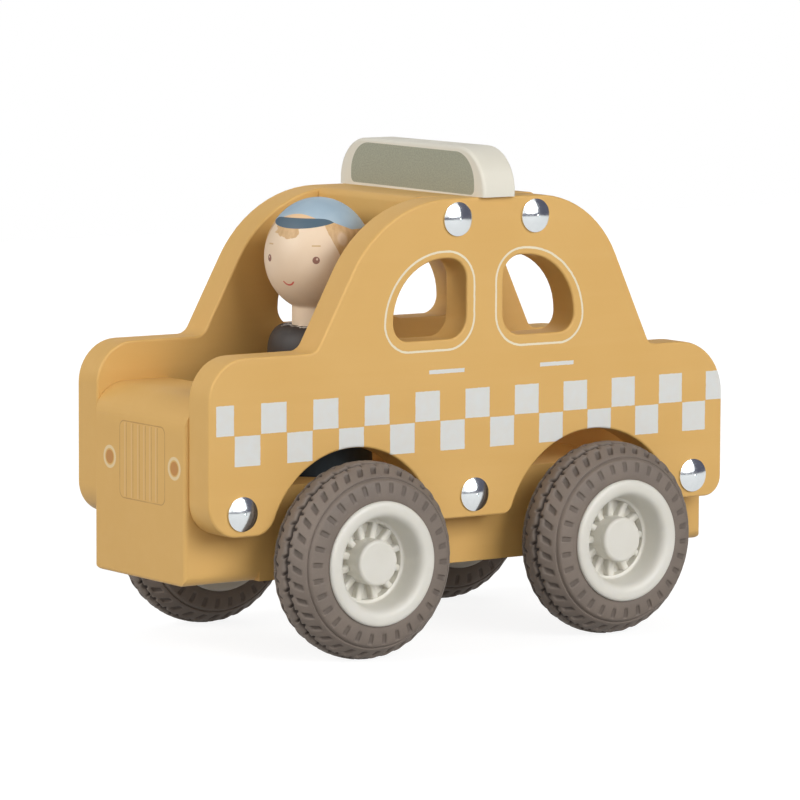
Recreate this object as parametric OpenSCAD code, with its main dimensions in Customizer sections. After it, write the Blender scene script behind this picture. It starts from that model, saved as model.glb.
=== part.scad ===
// Wooden push-along toy taxi with a lift-out peg driver.
// Millimetres. The origin is on the ground under the middle of the car.
// +X is the car's left side, -Y is its front and +Z is up.

/* [Side panels] */
// Length of each side panel
panel_l = 171.5; // [165:0.5:190]
// Thickness of each side panel
panel_t = 10; // [8:0.5:12]
// Clear width between the side panels
inner_w = 45.5; // [42:0.5:52]
// Height of the panels' lower edge above the ground
panel_bottom_z = 34.5; // [33:0.5:37]
// Height of the bonnet line
bonnet_z = 82; // [78:0.5:86]
// Height of the boot line
boot_z = 78.5; // [75:0.5:82]
// Height of the roof line
roof_z = 121.4; // [117:0.2:128]
// Place of the windscreen pillar's foot, as a share of the panel's length from its middle
screen_foot_share = -0.3015; // [-0.325:0.0005:-0.29]
// Place where the windscreen pillar's line meets the roof line, as such a share
screen_top_share = -0.1743; // [-0.199:0.0001:-0.163]
// Place where the rear pillar's line meets the roof line, as such a share
rear_top_share = 0.2327; // [0.215:0.0001:0.255]
// Place of the rear pillar's foot, as such a share
rear_foot_share = 0.3499; // [0.33:0.0001:0.367]
// Radius of the bonnet's front corner
bonnet_corner_r = 11.5; // [6:0.5:16]
// Radius of the boot's rear corner
boot_corner_r = 15; // [6:0.5:18]
// Radius where the windscreen pillar turns into the roof
roof_front_r = 36; // [20:1:40]
// Radius where the roof turns into the rear pillar
roof_rear_r = 30; // [20:1:36]
// Radius at the foot of the windscreen pillar
screen_foot_r = 4; // [1:0.5:8]
// Radius at the foot of the rear pillar
rear_foot_r = 3; // [1:0.5:8]
// Radius of the front lower corner
front_lower_r = 9; // [3:0.5:10]
// Radius of the rear lower corner
rear_lower_r = 5.5; // [2:0.5:8]

/* [Wheel arches] */
// Gap between the tyre's crown and the front arch
front_arch_gap = 0.6; // [0.3:0.1:3]
// Gap between the tyre's crown and the rear arch
rear_arch_gap = 2.9; // [0.3:0.1:4]
// How far the front arch sits behind its axle
front_arch_back = 1.3; // [0:0.1:2]
// How far the front arch sits above its axle
front_arch_rise = 2.2; // [0:0.1:3]
// Radius of the panel's foot ahead of the front arch
front_foot_r = 6.6; // [2:0.2:8]
// Radius of the panel's other feet beside the arches
arch_foot_r = 3.3; // [1:0.1:5]

/* [Windows] */
// Width of each window
window_w = 24.1; // [20:0.1:26]
// Height of each window
window_h = 21.8; // [18:0.1:24]
// Height of the panel between the windows and the roof line
window_header = 16.1; // [13:0.1:20]
// Width of the pillar between two windows
door_pillar_w = 12.2; // [8:0.2:16]
// Place of that pillar's middle
door_pillar_y = 3.4; // [0:0.1:6]
// Radius of each window's corners beside the door pillar
window_corner_r = 6; // [2:0.5:8]

/* [Front and rear blocks] */
// Length of each end block, front to back
block_d = 23.5; // [18:0.25:26]
// How far the end blocks stand out past the side panels
block_proud = 1; // [0:0.25:3]
// How far the end blocks' tops lie below the bonnet and boot lines
block_drop = 10.6; // [6:0.2:16]
// Radius of the end blocks' upper outer edge
block_nose_r = 10; // [3:0.5:14]
// Radius of the end blocks' lower outer edge
block_heel_r = 1; // [0.5:0.25:6]
// Radius of the end blocks' lower side edges
block_foot_r = 3.5; // [1:0.5:8]
// Radius of the end blocks' upright outer edges
block_edge_r = 1.5; // [0.5:0.1:4]

/* [Floor and roof] */
// Height of the floor board's underside above the ground
floor_bottom_z = 20.7; // [19:0.1:21.5]
// Thickness of the floor board
floor_t = 25.2; // [24:0.1:28]
// Length of the roof board
roof_l = 41; // [38:0.5:46]
// Thickness of the roof board
roof_t = 10; // [9:0.5:12]
// Place of the roof board's middle
roof_mid_y = 6.9; // [5.5:0.1:8]
// Radius of the roof board's front and rear edges
roof_edge_r = 2; // [0.5:0.1:4]

/* [Roof sign] */
// Width of the roof sign across the car
sign_w = 69; // [60:0.5:72]
// Thickness of the roof sign
sign_t = 10.8; // [9:0.1:13]
// Height of the roof sign
sign_h = 13.3; // [12.5:0.1:16]
// Diameter of the dowels that hold the sign
sign_dowel_d = 6; // [4:0.5:7]
// Length of the dowels that hold the sign
sign_dowel_l = 16; // [12:0.5:17]
// Distance between the two sign dowels
sign_dowel_gap = 26; // [18:1:34]

/* [Tie rods] */
// Diameter of the tie rods
rod_d = 4; // [3:0.25:5]
// Depth of the lower tie rods below the floor board's top
rod_depth = 5.15; // [4:0.05:7]
// Depth of the upper tie rods below the roof line
roof_rod_depth = 5.55; // [4.5:0.05:6]
// Distance between the two upper tie rods
roof_rod_gap = 26; // [22:0.5:30]
// Diameter of the dome caps
cap_d = 9.2; // [7:0.1:10]
// Height of the dome caps
cap_h = 1.8; // [1.5:0.1:3]
// How far a rod's end reaches into its dome cap
cap_grip = 1; // [0.6:0.1:1.1]

/* [Wheels] */
// Distance between the two axles, as a share of the panel's length
wheelbase_share = 0.4758; // [0.455:0.0001:0.5]
// Diameter of the tyres
tyre_d = 53.2; // [50:0.2:56]
// Width of the tyres
tyre_w = 18.4; // [16:0.2:20]
// Distance from a side panel's face to the middle of its wheels
wheel_out = 5.85; // [5:0.05:9]
// Width of the tyre's flat crown
crown_w = 5.2; // [3:0.1:8]
// How far the tyre's shoulder lies inside its crown
shoulder_drop = 3.7; // [2:0.1:5]
// Width of the tyre between its shoulders
shoulder_w = 15.4; // [12:0.1:15.8]
// Diameter of the rim's lips
rim_d = 33.6; // [30:0.2:36]
// Width of the rim over its lips
rim_w = 20.2; // [18.6:0.1:22]
// Thickness of each lip
lip_t = 1.4; // [0.8:0.1:2]
// Height of each lip above the tyre's seat
lip_h = 2.3; // [1:0.1:3]
// Width of the rim's front ring
ring_w = 4; // [2.6:0.1:5]
// Depth of the spokes behind the front ring
dish_depth = 6.8; // [6:0.1:8]
// Number of spokes
spoke_count = 12; // [6:1:14]
// Width of a spoke
spoke_w = 1.9; // [1.2:0.1:2.4]
// Height of the spokes above the rim's web
spoke_h = 2.9; // [1:0.1:4]
// Thickness of the rim's web
web_t = 2.5; // [1.5:0.1:4]
// Diameter of the hub
hub_d = 12.4; // [10:0.2:14]
// Distance of the hub cap's face behind the rim's front ring
cap_set = 2.5; // [0.5:0.1:4]
// Thickness of the hub cap
hub_cap_t = 2; // [1.4:0.1:3]
// Diameter of the axles
axle_d = 5; // [4:0.25:6]
// Depth that an axle's end stays behind the hub cap's seat
axle_set = 2.1; // [1:0.1:4]

/* [Driver] */
// Gap between the driver and the roof board's front edge
driver_gap = 0.4; // [0.4:0.1:3]
// Depth of the driver's socket in the floor board
socket_depth = 10; // [5:0.5:12]
// Diameter of the driver's body at its base
base_d = 30; // [28:0.2:32]
// Diameter of the driver's body at the shoulders
chest_d = 27.8; // [24:0.2:30]
// Diameter of the flat on top of the shoulders
collar_d = 18.8; // [17:0.2:22]
// Height of the driver's body
body_h = 50.1; // [44:0.1:56]
// Height of the rounded shoulders
shoulder_h = 7; // [4:0.5:10]
// Diameter of the neck
neck_d = 14.4; // [12:0.2:16]
// Height of the neck
neck_h = 5.2; // [3:0.1:8]
// How much narrower the head is than the body's base
head_set = 0.4; // [0:0.1:4]
// Height of the head from the neck to the crown
head_h = 29.5; // [26:0.1:32]
// Diameter of the dowel inside the driver
dowel_d = 7; // [5:0.5:8]
// Length of the dowel inside the driver
dowel_l = 30; // [20:0.5:34]

/* [Fits] */
// Play all round a turning axle or dowel
running_play = 0.08; // [0.02:0.01:0.1]
// Play all round a tie rod in its holes
rod_play = 0.1; // [0:0.01:0.2]
// Play between the driver and its socket, and at the dowel's ends
driver_play = 0.4; // [0.3:0.05:0.8]
// Play between the hubs and the floor board
hub_play = 0.3; // [0.2:0.05:1]

/* [Hidden] */
$fn = 96;

// Steps in each rounded corner
corner_steps = 12;
// Steps in each wheel arch
arch_steps = 48;
// Cuts run this far past what they cut
overrun = 1;

// The two sides
left = 1;
right = -1;
// Half of the clear width
inner_x = inner_w / 2;
// Outer face of a side panel
panel_x = inner_x + panel_t;
// Outer face of the end blocks
nose_y = panel_l / 2 + block_proud;
// Inner face of the end blocks
bulkhead_y = nose_y - block_d;
// Places along the panel
screen_foot_y = panel_l * screen_foot_share;
screen_top_y = panel_l * screen_top_share;
rear_top_y = panel_l * rear_top_share;
rear_foot_y = panel_l * rear_foot_share;
wheelbase = panel_l * wheelbase_share;
// Top of the floor board
floor_top_z = floor_bottom_z + floor_t;
// Underside of the roof board
roof_bottom_z = roof_z - roof_t;

// Axles
tyre_r = tyre_d / 2;
axle_z = tyre_r;
axle_r = axle_d / 2;
front_axle_y = -wheelbase / 2;
rear_axle_y = wheelbase / 2;
wheel_x = panel_x + wheel_out;

// Rim, measured outwards from the wheel's middle
rim_r = rim_d / 2;
rim_x = rim_w / 2;
seat_r = rim_r - lip_h;
seat_x = rim_x - lip_t;
dish_r = rim_r - ring_w;
spoke_face_x = rim_x - dish_depth;
web_face_x = spoke_face_x - spoke_h;
web_back_x = web_face_x - web_t;
hub_r = hub_d / 2;
hub_face_x = rim_x - cap_set - hub_cap_t;
boss_x = inner_x + hub_play - wheel_x;
// The dish narrows by this share of the ring from its mouth to the spokes
dish_taper_share = 0.36;
well_r = dish_r - ring_w * dish_taper_share;
// The dish ends this share of a spoke's height in front of the spokes
dish_foot_share = 0.15;
dish_foot_x = spoke_face_x + spoke_h * dish_foot_share;
// The spokes run from the middle of the hub's wall to the middle of the rim's
spoke_root_r = (axle_r + hub_r) / 2;
spoke_tip_r = (well_r + seat_r) / 2;
// The boss behind the rim has this share of the hub's diameter
boss_share = 0.8;
axle_x = wheel_x + hub_face_x - axle_set;
// The tyre's walls bulge this share of the way from rim to shoulder
bulge_share = 0.5;
wall_r = rim_r + (tyre_r - shoulder_drop - rim_r) * bulge_share;

// Windows
window_top_z = roof_z - window_header;
sill_z = window_top_z - window_h;
// Shares of a window's height taken by its large upper corner and by the corner under it
window_big_share = 0.76;
window_low_share = 0.23;

// Tie rods
rod_r = rod_d / 2;
lower_rod_z = floor_top_z - rod_depth;
upper_rod_z = roof_z - roof_rod_depth;
// The end rods lie this share of the way from the rear arch to the panel's end
end_rod_share = 0.4558;
arch_end_y = rear_axle_y + sqrt(pow(tyre_r + rear_arch_gap, 2) - pow(lower_rod_z - axle_z, 2));
end_rod_y = arch_end_y + (panel_l / 2 - arch_end_y) * end_rod_share;
front_rod = [-end_rod_y, lower_rod_z];
middle_rod = [0, lower_rod_z];
rear_rod = [end_rod_y, lower_rod_z];
roof_front_rod = [roof_mid_y - roof_rod_gap / 2, upper_rod_z];
roof_rear_rod = [roof_mid_y + roof_rod_gap / 2, upper_rod_z];
rods = [front_rod, middle_rod, rear_rod, roof_front_rod, roof_rear_rod];

// Driver, ahead of the roof so that it lifts straight out
head_d = base_d - head_set;
driver_y = roof_mid_y - roof_l / 2 - driver_gap - base_d / 2;
socket_z = floor_top_z - socket_depth;
collar_z = socket_z + body_h;
chin_z = collar_z + neck_h;
// The head is widest at this share of its height
cheek_share = 0.45;
dowel_r = dowel_d / 2;
dowel_z = collar_z - dowel_l / 2;

// Edges
cap_edge_share = 0.3;
sign_foot_share = 0.06;
sign_corner_share = 0.9;
lip_edge_share = 0.5;
hub_edge_share = 0.6;
base_edge_share = 0.05;
sign_dowel_share = 0.5;

// Colours
yellow = "#D9AF6C";
block_yellow = "#C8A260";
cream = "#E0DBCE";
taupe = "#7C6E66";
bright_steel = "#C9CED2";
dowel_wood = "#D8BE95";
charcoal = "#4D4542";
skin = "#D9BFA3";

function unit_at(a) = [cos(a), sin(a)];

// Points along an arc about c, in equal steps from angle a to angle b
function arc(c, r, a, b, steps) =
    [for (i = [0:steps]) c + r * unit_at(a + (b - a) * i / steps)];

function unit(v) = v / norm(v);
function turned(v, a) = [v.x * cos(a) - v.y * sin(a), v.x * sin(a) + v.y * cos(a)];
function cross_z(u, v) = u.x * v.y - u.y * v.x;

// Points that round the corner b between a and c with radius r
function fillet(a, b, c, r) = r == 0 ? [b] :
    let (u = unit(a - b), v = unit(c - b), half = acos(u * v) / 2)
    let (o = b + unit(u + v) * r / sin(half), s = b + u * r / tan(half) - o)
    let (e = b + v * r / tan(half) - o, turn = atan2(cross_z(s, e), s * e))
    [for (i = [0:corner_steps]) o + turned(s, turn * i / corner_steps)];

function spot(corner) = [corner.x, corner.y];

// Outline through corners, each given as [first, second, radius]
function rounded(corners) =
    let (n = len(corners))
    [for (i = [0:n - 1])
        each fillet(spot(corners[(i + n - 1) % n]), spot(corners[i]), spot(corners[(i + 1) % n]), corners[i].z)];

// Extrudes a side view (Y to the right, Z up) from x0 to x1
module across(x0, x1) {
    translate([x0, 0, 0]) rotate([90, 0, 90]) linear_extrude(x1 - x0) children();
}

// Round bar along X at [y, z]
module bar(place, x0, x1, r) {
    translate([x0, place.x, place.y]) rotate([0, 90, 0]) cylinder(h = x1 - x0, r = r);
}

// Turns a profile of [radius, x] points about the X axis at [y, z]
module turned_on(place) {
    translate([0, place.x, place.y]) rotate([0, 90, 0]) rotate_extrude() children();
}

// Places its children on the left side, or mirrored on the right
module on_side(side) {
    if (side == left) children();
    else mirror([1, 0, 0]) children();
}

// Wheel arch about [y, z] that ends in rounded feet on the panel's lower edge
module arch_cut(place, r, front_r, rear_r) {
    front_z = panel_bottom_z + front_r;
    rear_z = panel_bottom_z + rear_r;
    front_y = place.x - sqrt(pow(r + front_r, 2) - pow(front_z - place.y, 2));
    rear_y = place.x + sqrt(pow(r + rear_r, 2) - pow(rear_z - place.y, 2));
    front_a = atan2(place.y - front_z, place.x - front_y);
    rear_a = atan2(rear_z - place.y, rear_y - place.x);
    polygon([
        each arc([front_y, front_z], front_r, -90, front_a, corner_steps),
        for (i = [1:arch_steps - 1])
            place + r * unit_at(front_a + 180 + (rear_a - front_a - 180) * i / arch_steps),
        each arc([rear_y, rear_z], rear_r, rear_a + 180, 270, corner_steps),
        [rear_y, panel_bottom_z - overrun],
        [front_y, panel_bottom_z - overrun]
    ]);
}

// One window, which starts beside the door pillar and runs towards dir
module window_cut(dir) {
    near_y = door_pillar_y + dir * door_pillar_w / 2;
    far_y = near_y + dir * window_w;
    polygon(rounded([
        [near_y, sill_z, window_corner_r],
        [far_y, sill_z, window_h * window_low_share],
        [far_y, window_top_z, window_h * window_big_share],
        [near_y, window_top_z, window_corner_r]
    ]));
}

module panel_outline() {
    difference() {
        polygon(rounded([
            [-panel_l / 2, panel_bottom_z, front_lower_r],
            [-panel_l / 2, bonnet_z, bonnet_corner_r],
            [screen_foot_y, bonnet_z, screen_foot_r],
            [screen_top_y, roof_z, roof_front_r],
            [rear_top_y, roof_z, roof_rear_r],
            [rear_foot_y, boot_z, rear_foot_r],
            [panel_l / 2, boot_z, boot_corner_r],
            [panel_l / 2, panel_bottom_z, rear_lower_r]
        ]));
        arch_cut([front_axle_y + front_arch_back, axle_z + front_arch_rise], tyre_r + front_arch_gap,
            front_foot_r, arch_foot_r);
        arch_cut([rear_axle_y, axle_z], tyre_r + rear_arch_gap, arch_foot_r, arch_foot_r);
        window_cut(-1);
        window_cut(1);
    }
}

module side_panel(side) {
    color(yellow) on_side(side) difference() {
        across(inner_x, panel_x) panel_outline();
        for (rod = rods) bar(rod, inner_x - overrun, panel_x + overrun, rod_r + rod_play);
    }
}

// End block seen from the side, with its outer face at nose_y
module block_profile(top_z) {
    polygon(rounded([
        [bulkhead_y, floor_bottom_z, 0],
        [nose_y, floor_bottom_z, block_heel_r],
        [nose_y, top_z, block_nose_r],
        [bulkhead_y, top_z, 0]
    ]));
}

module end_block(top_z) {
    difference() {
        intersection() {
            across(-inner_x, inner_x) block_profile(top_z);
            linear_extrude(top_z) polygon(rounded([
                [-inner_x, bulkhead_y, 0],
                [inner_x, bulkhead_y, 0],
                [inner_x, nose_y, block_edge_r],
                [-inner_x, nose_y, block_edge_r]
            ]));
            translate([0, nose_y + overrun, 0]) rotate([90, 0, 0]) linear_extrude(block_d + 2 * overrun)
                polygon(rounded([
                    [-inner_x, floor_bottom_z, block_foot_r],
                    [inner_x, floor_bottom_z, block_foot_r],
                    [inner_x, top_z + overrun, 0],
                    [-inner_x, top_z + overrun, 0]
                ]));
        }
        bar(rear_rod, -inner_x - overrun, inner_x + overrun, rod_r + rod_play);
    }
}

module front_block() {
    color(block_yellow) mirror([0, 1, 0]) end_block(bonnet_z - block_drop);
}

module rear_block() {
    color(block_yellow) end_block(boot_z - block_drop);
}

module floor_board() {
    color(block_yellow) difference() {
        across(-inner_x, inner_x)
            translate([-bulkhead_y, floor_bottom_z]) square([2 * bulkhead_y, floor_t]);
        for (y = [front_axle_y, rear_axle_y])
            bar([y, axle_z], -inner_x - overrun, inner_x + overrun, axle_r + running_play);
        bar(middle_rod, -inner_x - overrun, inner_x + overrun, rod_r + rod_play);
        translate([0, driver_y, socket_z])
            cylinder(h = socket_depth + overrun, d = base_d + 2 * driver_play);
    }
}

module roof_board() {
    front_y = roof_mid_y - roof_l / 2;
    rear_y = roof_mid_y + roof_l / 2;
    color(block_yellow) difference() {
        across(-inner_x, inner_x) polygon(rounded([
            [front_y, roof_bottom_z, roof_edge_r],
            [front_y, roof_z, roof_edge_r],
            [rear_y, roof_z, roof_edge_r],
            [rear_y, roof_bottom_z, roof_edge_r]
        ]));
        for (rod = [roof_front_rod, roof_rear_rod])
            bar(rod, -inner_x - overrun, inner_x + overrun, rod_r + rod_play);
        for (side = [left, right]) sign_dowel_solid(side);
    }
}

module sign_dowel_solid(side) {
    translate([side * sign_dowel_gap / 2, roof_mid_y, roof_z - sign_dowel_l * sign_dowel_share])
        cylinder(h = sign_dowel_l, d = sign_dowel_d);
}

module sign_dowel(side) {
    color(dowel_wood) sign_dowel_solid(side);
}

module roof_sign() {
    foot_r = sign_h * sign_foot_share;
    corner_r = sign_h * sign_corner_share;
    color(cream) difference() {
        translate([0, roof_mid_y + sign_t / 2, 0]) rotate([90, 0, 0]) linear_extrude(sign_t)
            polygon(rounded([
                [-sign_w / 2, roof_z, foot_r],
                [-sign_w / 2, roof_z + sign_h, corner_r],
                [sign_w / 2, roof_z + sign_h, corner_r],
                [sign_w / 2, roof_z, foot_r]
            ]));
        for (side = [left, right]) sign_dowel_solid(side);
    }
}

module tie_rod(place) {
    color(bright_steel) bar(place, -panel_x - cap_grip, panel_x + cap_grip, rod_r);
}

// Dome cap with a short straight skirt, pressed on a tie rod's end
module dome_cap(side, place) {
    cap_r = cap_d / 2;
    skirt = cap_h * cap_edge_share;
    crown = cap_h - skirt;
    dome_r = (pow(cap_r, 2) + pow(crown, 2)) / (2 * crown);
    edge_a = asin((dome_r - crown) / dome_r);
    color(bright_steel) on_side(side) difference() {
        turned_on(place) polygon([
            [0, panel_x],
            [cap_r, panel_x],
            each arc([0, panel_x + cap_h - dome_r], dome_r, edge_a, 90, corner_steps)
        ]);
        bar(place, panel_x - overrun, panel_x + cap_grip, rod_r);
    }
}

module axle(y) {
    color(bright_steel) bar([y, axle_z], -axle_x, axle_x, axle_r);
}

// Turned part of the rim: bore, hub, web, dish and the two lips that hold the tyre
module rim_profile() {
    translate([0, wheel_x]) polygon(rounded([
        [axle_r, boss_x, 0],
        [hub_r * boss_share, boss_x, 0],
        [hub_r * boss_share, -rim_x, 0],
        [hub_r, -rim_x, 0],
        [hub_r, web_back_x, 0],
        [well_r, web_back_x, 0],
        [dish_r, -rim_x, 0],
        [rim_r, -rim_x, lip_t * lip_edge_share],
        [rim_r, -seat_x, 0],
        [seat_r, -seat_x, 0],
        [seat_r, seat_x, 0],
        [rim_r, seat_x, 0],
        [rim_r, rim_x, lip_t * lip_edge_share],
        [dish_r, rim_x, lip_t],
        [well_r, dish_foot_x, 0],
        [well_r, web_face_x, 0],
        [hub_r, web_face_x, 0],
        [hub_r, hub_face_x, 0],
        [axle_r, hub_face_x, 0]
    ]));
}

module rim(side, y) {
    color(cream) on_side(side) {
        turned_on([y, axle_z]) rim_profile();
        for (i = [0:spoke_count - 1])
            translate([wheel_x, y, axle_z]) rotate([i * 360 / spoke_count, 0, 0])
                translate([web_face_x - web_t / 2, -spoke_w / 2, spoke_root_r])
                    cube([spoke_h + web_t / 2, spoke_w, spoke_tip_r - spoke_root_r]);
    }
}

module tyre_profile() {
    shoulder_r = tyre_r - shoulder_drop;
    translate([0, wheel_x]) polygon(rounded([
        [seat_r, -seat_x, 0],
        [rim_r, -seat_x, 0],
        [wall_r, -tyre_w / 2, lip_h],
        [shoulder_r, -shoulder_w / 2, lip_t],
        [tyre_r, -crown_w / 2, shoulder_drop],
        [tyre_r, crown_w / 2, shoulder_drop],
        [shoulder_r, shoulder_w / 2, lip_t],
        [wall_r, tyre_w / 2, lip_h],
        [rim_r, seat_x, 0],
        [seat_r, seat_x, 0]
    ]));
}

module tyre(side, y) {
    color(taupe) on_side(side) turned_on([y, axle_z]) tyre_profile();
}

// Disc that closes the hub, with a stem in the hub's bore
module hub_cap(side, y) {
    edge_r = hub_cap_t * hub_edge_share;
    color(cream) on_side(side) turned_on([y, axle_z]) translate([0, wheel_x + hub_face_x])
        polygon(rounded([
            [0, -axle_set, 0],
            [axle_r, -axle_set, 0],
            [axle_r, 0, 0],
            [hub_r, 0, 0],
            [hub_r, hub_cap_t, edge_r],
            [0, hub_cap_t, 0]
        ]));
}

// Bore for the driver's dowel, with play all round and at its ends
module dowel_bore() {
    translate([0, driver_y, dowel_z - driver_play])
        cylinder(h = dowel_l + 2 * driver_play, r = dowel_r + running_play);
}

module driver_body() {
    shoulder_z = body_h - shoulder_h;
    color(charcoal) difference() {
        translate([0, driver_y, socket_z]) rotate_extrude() polygon([
            [0, 0],
            each fillet([0, 0], [base_d / 2, 0], [base_d / 2, socket_depth], base_d * base_edge_share),
            [base_d / 2, socket_depth],
            [chest_d / 2, shoulder_z],
            for (a = [0:90 / corner_steps:90])
                [collar_d / 2 + (chest_d - collar_d) / 2 * cos(a), shoulder_z + shoulder_h * sin(a)],
            [0, body_h]
        ]);
        dowel_bore();
    }
}

// Neck and egg-shaped head in one turned piece
module driver_head() {
    low_h = head_h * cheek_share;
    high_h = head_h - low_h;
    neck_a = acos(neck_d / head_d);
    // The lower half runs from the cheeks down to the neck along part of an ellipse
    low_rise = low_h / sin(neck_a);
    color(skin) difference() {
        translate([0, driver_y, collar_z]) rotate_extrude() polygon([
            [0, 0],
            [neck_d / 2, 0],
            for (a = [-neck_a:neck_a / corner_steps:0])
                [head_d / 2 * cos(a), neck_h + low_h + low_rise * sin(a)],
            for (a = [90 / corner_steps:90 / corner_steps:90])
                [head_d / 2 * cos(a), neck_h + low_h + high_h * sin(a)]
        ]);
        dowel_bore();
    }
}

module driver_dowel() {
    color(dowel_wood) translate([0, driver_y, dowel_z]) cylinder(h = dowel_l, r = dowel_r);
}

side_panel(left);  // left_side_panel
side_panel(right);  // right_side_panel
front_block();
rear_block();
floor_board();
roof_board();
roof_sign();
sign_dowel(left);  // left_sign_dowel
sign_dowel(right);  // right_sign_dowel
tie_rod(front_rod);  // front_tie_rod
tie_rod(middle_rod);  // middle_tie_rod
tie_rod(rear_rod);  // rear_tie_rod
tie_rod(roof_front_rod);  // roof_front_tie_rod
tie_rod(roof_rear_rod);  // roof_rear_tie_rod
dome_cap(left, front_rod);  // left_front_dome_cap
dome_cap(left, middle_rod);  // left_middle_dome_cap
dome_cap(left, rear_rod);  // left_rear_dome_cap
dome_cap(left, roof_front_rod);  // left_roof_front_dome_cap
dome_cap(left, roof_rear_rod);  // left_roof_rear_dome_cap
dome_cap(right, front_rod);  // right_front_dome_cap
dome_cap(right, middle_rod);  // right_middle_dome_cap
dome_cap(right, rear_rod);  // right_rear_dome_cap
dome_cap(right, roof_front_rod);  // right_roof_front_dome_cap
dome_cap(right, roof_rear_rod);  // right_roof_rear_dome_cap
axle(front_axle_y);  // front_axle
axle(rear_axle_y);  // rear_axle
rim(left, front_axle_y);  // left_front_rim
rim(right, front_axle_y);  // right_front_rim
rim(left, rear_axle_y);  // left_rear_rim
rim(right, rear_axle_y);  // right_rear_rim
tyre(left, front_axle_y);  // left_front_tyre
tyre(right, front_axle_y);  // right_front_tyre
tyre(left, rear_axle_y);  // left_rear_tyre
tyre(right, rear_axle_y);  // right_rear_tyre
hub_cap(left, front_axle_y);  // left_front_hub_cap
hub_cap(right, front_axle_y);  // right_front_hub_cap
hub_cap(left, rear_axle_y);  // left_rear_hub_cap
hub_cap(right, rear_axle_y);  // right_rear_hub_cap
driver_body();
driver_head();
driver_dowel();
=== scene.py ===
import math

import bmesh
import bpy
from mathutils import Matrix, Vector


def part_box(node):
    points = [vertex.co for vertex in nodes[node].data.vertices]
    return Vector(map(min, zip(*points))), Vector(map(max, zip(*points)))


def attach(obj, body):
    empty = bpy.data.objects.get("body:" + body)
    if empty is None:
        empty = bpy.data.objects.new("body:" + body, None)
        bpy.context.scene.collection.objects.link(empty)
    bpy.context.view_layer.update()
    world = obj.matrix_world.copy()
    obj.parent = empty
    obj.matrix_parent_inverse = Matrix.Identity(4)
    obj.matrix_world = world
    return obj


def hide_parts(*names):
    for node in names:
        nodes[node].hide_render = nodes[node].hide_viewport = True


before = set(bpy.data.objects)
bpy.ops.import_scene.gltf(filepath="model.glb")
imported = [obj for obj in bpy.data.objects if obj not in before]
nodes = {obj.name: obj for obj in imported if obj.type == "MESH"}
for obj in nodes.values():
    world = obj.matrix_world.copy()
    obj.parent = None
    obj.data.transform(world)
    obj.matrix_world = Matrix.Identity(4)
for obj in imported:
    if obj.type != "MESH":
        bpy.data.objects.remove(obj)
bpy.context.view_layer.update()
mm = 0.001
limits = {"merge": 0.002 * mm, "weld": 0.001 * mm, "plane": 0.03 * mm, "flat": math.radians(0.4)}
print("frame loaded with", len(nodes), "nodes")


# editing by hand, in code

def deselectAll():
    active = bpy.context.view_layer.objects.active
    if active and active.mode != "OBJECT":
        bpy.ops.object.mode_set(mode="OBJECT")
    bpy.ops.object.select_all(action="DESELECT")


def selectOnly(piece):
    deselectAll()
    bpy.context.view_layer.objects.active = piece
    piece.select_set(True)


def openEdit(piece, kind):
    selectOnly(piece)
    bpy.ops.object.mode_set(mode="EDIT")
    bpy.ops.mesh.select_mode(type=kind)


def closeEdit():
    bpy.ops.object.mode_set(mode="OBJECT")


def pick(piece, kind, test):
    bpy.ops.mesh.select_mode(type=kind)
    bpy.ops.mesh.select_all(action="DESELECT")
    sheet = bmesh.from_edit_mesh(piece.data)
    group = {"VERT": sheet.verts, "EDGE": sheet.edges, "FACE": sheet.faces}[kind]
    found = [item for item in group if test(item)]
    for item in found:
        item.select_set(True)
    sheet.select_flush_mode()
    bmesh.update_edit_mesh(piece.data)
    return len(found)


def middle(item):
    return sum((v.co for v in item.verts), Vector()) / len(item.verts)


def smoothPiece(piece, degrees):
    selectOnly(piece)
    bpy.ops.object.shade_smooth_by_angle(angle=math.radians(degrees))


def addModifier(piece, kind, **settings):
    selectOnly(piece)
    extra = piece.modifiers.new(kind, kind)
    for key, value in settings.items():
        setattr(extra, key, value)
    bpy.ops.object.modifier_apply(modifier=extra.name)


def finishPiece(piece, material, body, slot, *stoodFor):
    piece.data.materials.clear()
    piece.data.materials.append(material)
    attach(piece, body)
    if stoodFor:
        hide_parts(*stoodFor)


def copyOfNode(name, node):
    # a CAD mesh is loose triangles, so the copy is merged and its flat faces joined
    piece = bpy.data.objects.new(name, nodes[node].data.copy())
    bpy.context.scene.collection.objects.link(piece)
    openEdit(piece, "VERT")
    bpy.ops.mesh.select_all(action="SELECT")
    bpy.ops.mesh.remove_doubles(threshold=limits["merge"])
    bpy.ops.mesh.customdata_custom_splitnormals_clear()
    bpy.ops.mesh.dissolve_limited(angle_limit=limits["flat"])
    closeEdit()
    return piece


def inPlane(item, axis, level):
    return all(abs(v.co[axis] - level) < limits["plane"] for v in item.verts)


def roundRim(piece, axis, level, outward, radius, steps):
    # the flat face is sunk by the radius, then stepped out again in insets that follow an arc
    openEdit(piece, "FACE")
    pick(piece, "FACE", lambda f: inPlane(f, axis, level))
    sink = Vector((0, 0, 0))
    sink[axis] = -outward * radius
    bpy.ops.transform.translate(value=sink)
    for i in range(steps):
        here = math.radians(90 * i / steps)
        there = math.radians(90 * (i + 1) / steps)
        bpy.ops.mesh.inset(thickness=radius * (math.cos(here) - math.cos(there)),
                           depth=radius * (math.sin(there) - math.sin(here)), use_even_offset=True)
    closeEdit()


def softShade(piece, degrees):
    smoothPiece(piece, degrees)
    addModifier(piece, "WEIGHTED_NORMAL", keep_sharp=True, weight=100)


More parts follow.
